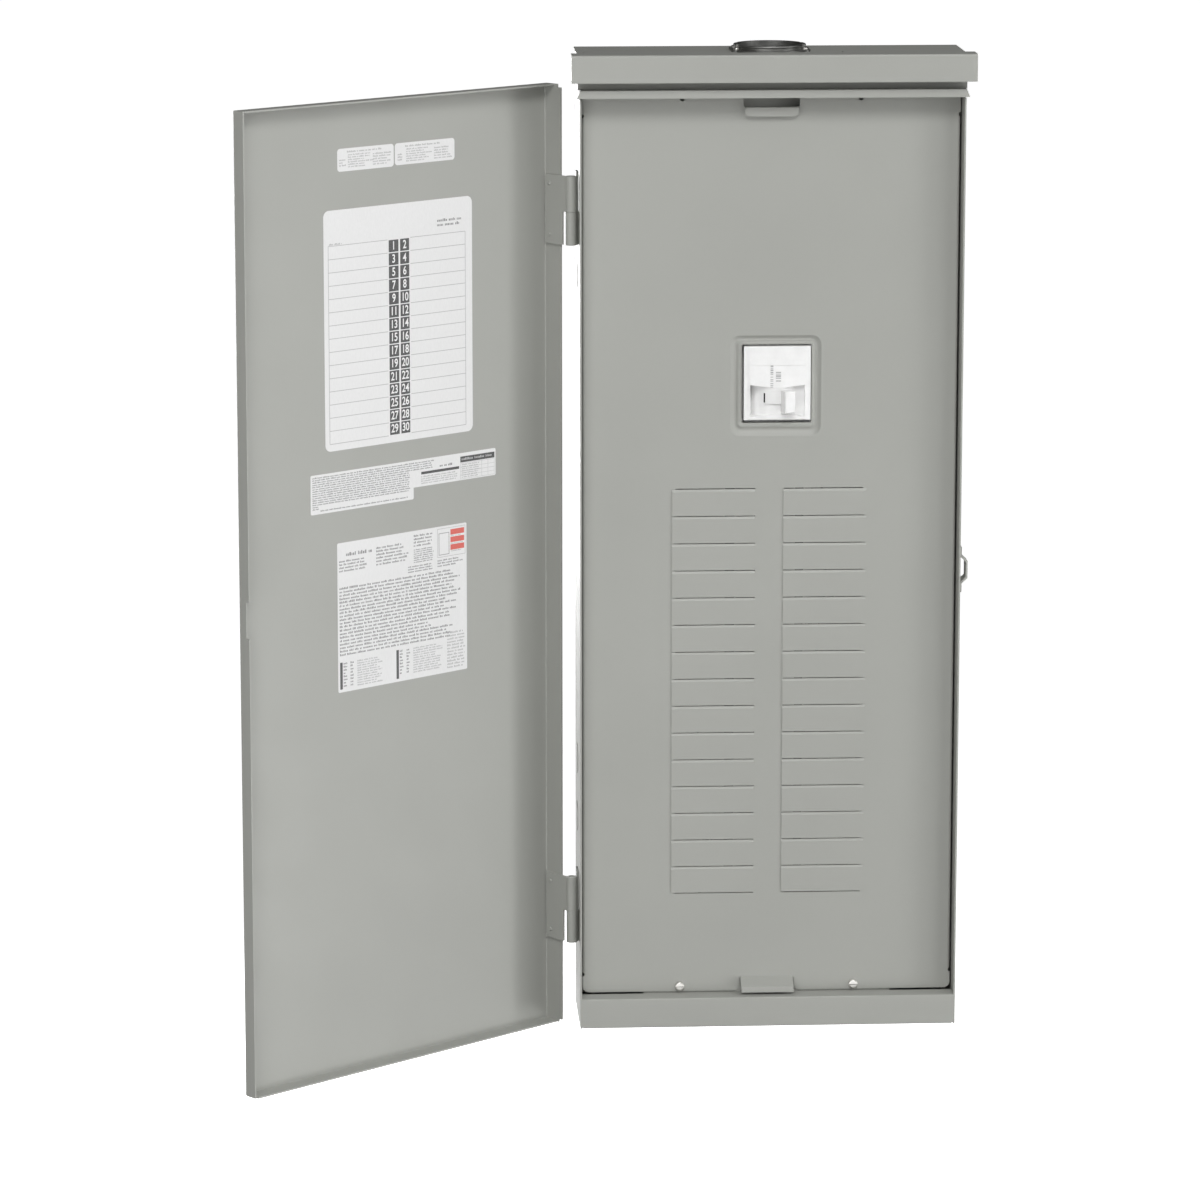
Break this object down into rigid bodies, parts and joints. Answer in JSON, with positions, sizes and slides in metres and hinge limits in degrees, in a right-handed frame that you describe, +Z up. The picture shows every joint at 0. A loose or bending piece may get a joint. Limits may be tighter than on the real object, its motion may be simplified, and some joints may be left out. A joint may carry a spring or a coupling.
{
  "type": "residential load center",
  "caption": "Tall grey wall-hung load center with rain hood, open hinged door, deadfront with closed twist-outs and a main breaker.",
  "frame": {"origin": "centre of the four wall fixing holes, on the back face that lies against the wall", "axes": "+Z up along the case, +Y into the wall, +X to the right for someone facing the case"},
  "size_m": [0.6636, 0.2841, 0.9135],
  "materials": {
    "grey_paint": "smooth semi-gloss grey powder coat",
    "zinc": "bright zinc plated steel",
    "hub_metal": "dark zinc plated steel",
    "white_plastic": "fine satin moulded thermoset",
    "black_plastic": "matt moulded thermoset",
    "tin_plated_bus": "dull tin plate",
    "lug_aluminium": "machined",
    "contact_copper": "bare copper alloy",
    "bond_green": "green dyed plating",
    "card_white": "satin printed label"
  },
  "bodies": {
    "case": {"enclosure_wrapper": "grey_paint", "top_endwall": "grey_paint", "bottom_endwall": "grey_paint", "rain_hood": "grey_paint", "conduit_hub": "hub_metal", "hub_screws": "zinc", "deadfront": "grey_paint", "deadfront_screws": "zinc", "upper_hinge_box_leaf": "grey_paint", "lower_hinge_box_leaf": "grey_paint", "upper_hinge_pin": "zinc", "lower_hinge_pin": "zinc", "box_hinge_rivets": "grey_paint", "padlock_staple": "grey_paint", "staple_rivets": "grey_paint", "interior_pan": "zinc", "interior_screws": "zinc", "bus_insulator": "black_plastic", "bus_bar_left": "tin_plated_bus", "bus_bar_right": "tin_plated_bus", "breaker_rail_left": "zinc", "breaker_rail_right": "zinc", "neutral_bar_left": "lug_aluminium", "neutral_bar_right": "lug_aluminium", "neutral_cross_strap": "tin_plated_bus", "neutral_standoffs": "black_plastic", "neutral_bar_screws": "zinc", "neutral_lug": "lug_aluminium", "neutral_lug_screw": "zinc", "bonding_screw": "bond_green", "ground_bar": "lug_aluminium", "ground_bar_screws": "zinc", "ground_bar_feet": "zinc", "main_breaker_base": "black_plastic", "main_breaker_cover": "white_plastic", "handle_pivot_pin": "zinc", "line_terminals": "contact_copper", "line_lugs": "lug_aluminium", "line_lug_screws": "zinc", "arc_chutes": "zinc"},
    "door": {"door": "grey_paint", "upper_hinge_door_leaf": "grey_paint", "lower_hinge_door_leaf": "grey_paint", "door_hinge_rivets": "grey_paint", "circuit_directory_card": "card_white", "small_data_labels": "card_white", "wiring_data_label": "card_white", "instruction_label": "card_white"},
    "main_handle": {"main_breaker_handle": "white_plastic"},
    "contact_carrier": {"contact_crossbar": "black_plastic", "moving_contacts": "contact_copper"}
  },
  "joints": [
    {"name": "door_hinge", "type": "hinge", "parent": "case", "child": "door", "pos_m": [-0.1813, -0.069, -0.0175], "axis": [0, 0, -1], "range_deg": [-140.5, 39.5]},
    {"name": "main_handle_throw", "type": "hinge", "parent": "case", "child": "main_handle", "pos_m": [0.0065, -0.052, 0.133], "axis": [0, 0, -1], "range_deg": [0, 36.6]},
    {"name": "contact_swing", "type": "hinge", "parent": "case", "child": "contact_carrier", "pos_m": [0.0065, -0.032, 0.1195], "axis": [1, 0, 0], "range_deg": [0, 34]}
  ],
  "couplings": [
    {"joint": "contact_swing", "follows": "main_handle_throw", "ratio": 0.9}
  ]
}
